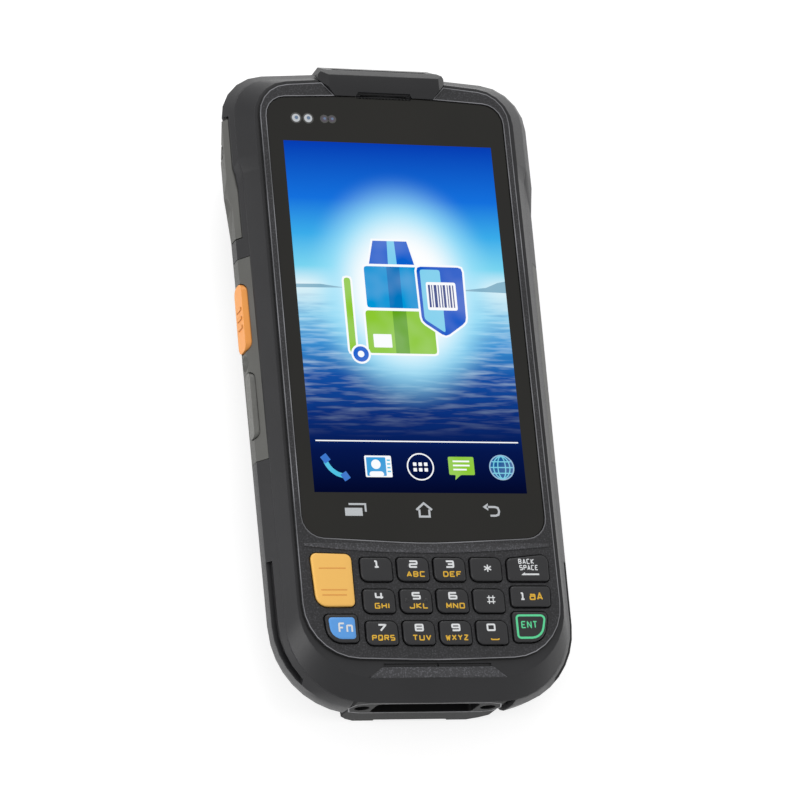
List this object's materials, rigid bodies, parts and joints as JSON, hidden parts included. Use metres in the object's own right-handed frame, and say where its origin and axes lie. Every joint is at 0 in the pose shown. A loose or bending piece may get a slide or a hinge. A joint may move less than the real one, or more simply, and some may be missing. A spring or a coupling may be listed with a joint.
{
  "type": "portable barcode data terminal",
  "caption": "Rugged handheld data terminal: touch screen over a numeric keypad, scanner in the head, a side trigger, hinged battery cover and charging contacts in the tail.",
  "frame": {"origin": "middle of the footprint, on the surface that the terminal's back lies on", "axes": "+X to the right seen from the front, +Y towards the scanner end, +Z out of the screen"},
  "size_m": [0.0766, 0.1567, 0.0259],
  "materials": {
    "shell": "fine-textured charcoal",
    "black_shell": "fine-textured black",
    "rubber": "matt",
    "steel": "brushed",
    "clear_glass": "polished",
    "scan_glass": "polished",
    "display": "smooth",
    "black_part": "satin",
    "key_grey": "satin",
    "key_blue": "satin",
    "orange": "satin",
    "board": "solder mask",
    "contacts": "gold plated"
  },
  "bodies": {
    "terminal": {"front_housing": "shell", "rear_housing": "shell", "housing_seal": "rubber", "housing_screws": "steel", "scanner_cap": "black_shell", "scan_window": "scan_glass", "scan_engine": "black_part", "scan_bracket": "steel", "touch_glass": "clear_glass", "display_panel": "display", "display_frame": "steel", "sensor_strip": "black_part", "earpiece_mesh": "steel", "earpiece": "black_part", "keypad_mat": "rubber", "keypad_board": "board", "main_board": "board", "shield_cans": "steel", "microphone": "black_part", "vibration_motor": "steel", "usb_port": "steel", "headset_jack": "black_part", "camera_window": "clear_glass", "rear_camera": "black_part", "flash_lens": "clear_glass", "loudspeaker": "black_part", "battery_pack": "black_part", "battery_terminals": "contacts", "dock_nose": "black_shell", "dock_contacts": "contacts", "left_grip": "rubber", "right_grip": "rubber", "left_switches": "board", "right_switches": "board"},
    "key_scan": {"key_scan": "orange"},
    "key_fn": {"key_fn": "key_blue"},
    "key_backspace": {"key_backspace": "key_grey"},
    "key_mode": {"key_mode": "key_grey"},
    "key_enter": {"key_enter": "key_grey"},
    "key_1": {"key_1": "key_grey"},
    "key_2": {"key_2": "key_grey"},
    "key_3": {"key_3": "key_grey"},
    "key_star": {"key_star": "key_grey"},
    "key_4": {"key_4": "key_grey"},
    "key_5": {"key_5": "key_grey"},
    "key_6": {"key_6": "key_grey"},
    "key_hash": {"key_hash": "key_grey"},
    "key_7": {"key_7": "key_grey"},
    "key_8": {"key_8": "key_grey"},
    "key_9": {"key_9": "key_grey"},
    "key_0": {"key_0": "key_grey"},
    "trigger": {"trigger": "orange"},
    "volume_rocker": {"volume_rocker": "black_shell"},
    "power_button": {"power_button": "black_shell"},
    "port_cover": {"port_cover": "rubber"},
    "battery_cover": {"battery_cover": "black_shell"},
    "battery_latch": {"battery_latch": "black_shell"}
  },
  "joints": [
    {"name": "key_scan_press", "type": "slide", "parent": "terminal", "child": "key_scan", "axis": [0, 0, -1], "range_m": [0, 0.0005], "stiffness_N_per_m": 400},
    {"name": "key_fn_press", "type": "slide", "parent": "terminal", "child": "key_fn", "axis": [0, 0, -1], "range_m": [0, 0.0005], "stiffness_N_per_m": 400},
    {"name": "key_backspace_press", "type": "slide", "parent": "terminal", "child": "key_backspace", "axis": [0, 0, -1], "range_m": [0, 0.0005], "stiffness_N_per_m": 400},
    {"name": "key_mode_press", "type": "slide", "parent": "terminal", "child": "key_mode", "axis": [0, 0, -1], "range_m": [0, 0.0005], "stiffness_N_per_m": 400},
    {"name": "key_enter_press", "type": "slide", "parent": "terminal", "child": "key_enter", "axis": [0, 0, -1], "range_m": [0, 0.0005], "stiffness_N_per_m": 400},
    {"name": "key_1_press", "type": "slide", "parent": "terminal", "child": "key_1", "axis": [0, 0, -1], "range_m": [0, 0.0005], "stiffness_N_per_m": 400},
    {"name": "key_2_press", "type": "slide", "parent": "terminal", "child": "key_2", "axis": [0, 0, -1], "range_m": [0, 0.0005], "stiffness_N_per_m": 400},
    {"name": "key_3_press", "type": "slide", "parent": "terminal", "child": "key_3", "axis": [0, 0, -1], "range_m": [0, 0.0005], "stiffness_N_per_m": 400},
    {"name": "key_star_press", "type": "slide", "parent": "terminal", "child": "key_star", "axis": [0, 0, -1], "range_m": [0, 0.0005], "stiffness_N_per_m": 400},
    {"name": "key_4_press", "type": "slide", "parent": "terminal", "child": "key_4", "axis": [0, 0, -1], "range_m": [0, 0.0005], "stiffness_N_per_m": 400},
    {"name": "key_5_press", "type": "slide", "parent": "terminal", "child": "key_5", "axis": [0, 0, -1], "range_m": [0, 0.0005], "stiffness_N_per_m": 400},
    {"name": "key_6_press", "type": "slide", "parent": "terminal", "child": "key_6", "axis": [0, 0, -1], "range_m": [0, 0.0005], "stiffness_N_per_m": 400},
    {"name": "key_hash_press", "type": "slide", "parent": "terminal", "child": "key_hash", "axis": [0, 0, -1], "range_m": [0, 0.0005], "stiffness_N_per_m": 400},
    {"name": "key_7_press", "type": "slide", "parent": "terminal", "child": "key_7", "axis": [0, 0, -1], "range_m": [0, 0.0005], "stiffness_N_per_m": 400},
    {"name": "key_8_press", "type": "slide", "parent": "terminal", "child": "key_8", "axis": [0, 0, -1], "range_m": [0, 0.0005], "stiffness_N_per_m": 400},
    {"name": "key_9_press", "type": "slide", "parent": "terminal", "child": "key_9", "axis": [0, 0, -1], "range_m": [0, 0.0005], "stiffness_N_per_m": 400},
    {"name": "key_0_press", "type": "slide", "parent": "terminal", "child": "key_0", "axis": [0, 0, -1], "range_m": [0, 0.0005], "stiffness_N_per_m": 400},
    {"name": "trigger_press", "type": "slide", "parent": "terminal", "child": "trigger", "axis": [1, 0, 0], "range_m": [0, 0.0006], "stiffness_N_per_m": 600},
    {"name": "volume_rocker_tilt", "type": "hinge", "parent": "terminal", "child": "volume_rocker", "pos_m": [-0.0355, -0.00658, 0.0168], "axis": [0, 0, 1], "range_deg": [-1.5, 1.5], "stiffness_Nm_per_rad": 0.5},
    {"name": "power_button_press", "type": "slide", "parent": "terminal", "child": "power_button", "axis": [-1, 0, 0], "range_m": [0, 0.0006], "stiffness_N_per_m": 400},
    {"name": "port_cover_hinge", "type": "hinge", "parent": "terminal", "child": "port_cover", "pos_m": [-0.0374, 0.03445, 0.014], "axis": [0, 0, 1], "range_deg": [0, 65]},
    {"name": "battery_cover_hinge", "type": "hinge", "parent": "terminal", "child": "battery_cover", "pos_m": [0, -0.05848, 0.0011], "axis": [-1, 0, 0], "range_deg": [0, 35]},
    {"name": "battery_latch_slide", "type": "slide", "parent": "terminal", "child": "battery_latch", "axis": [0, 1, 0], "range_m": [0, 0.0024]}
  ]
}
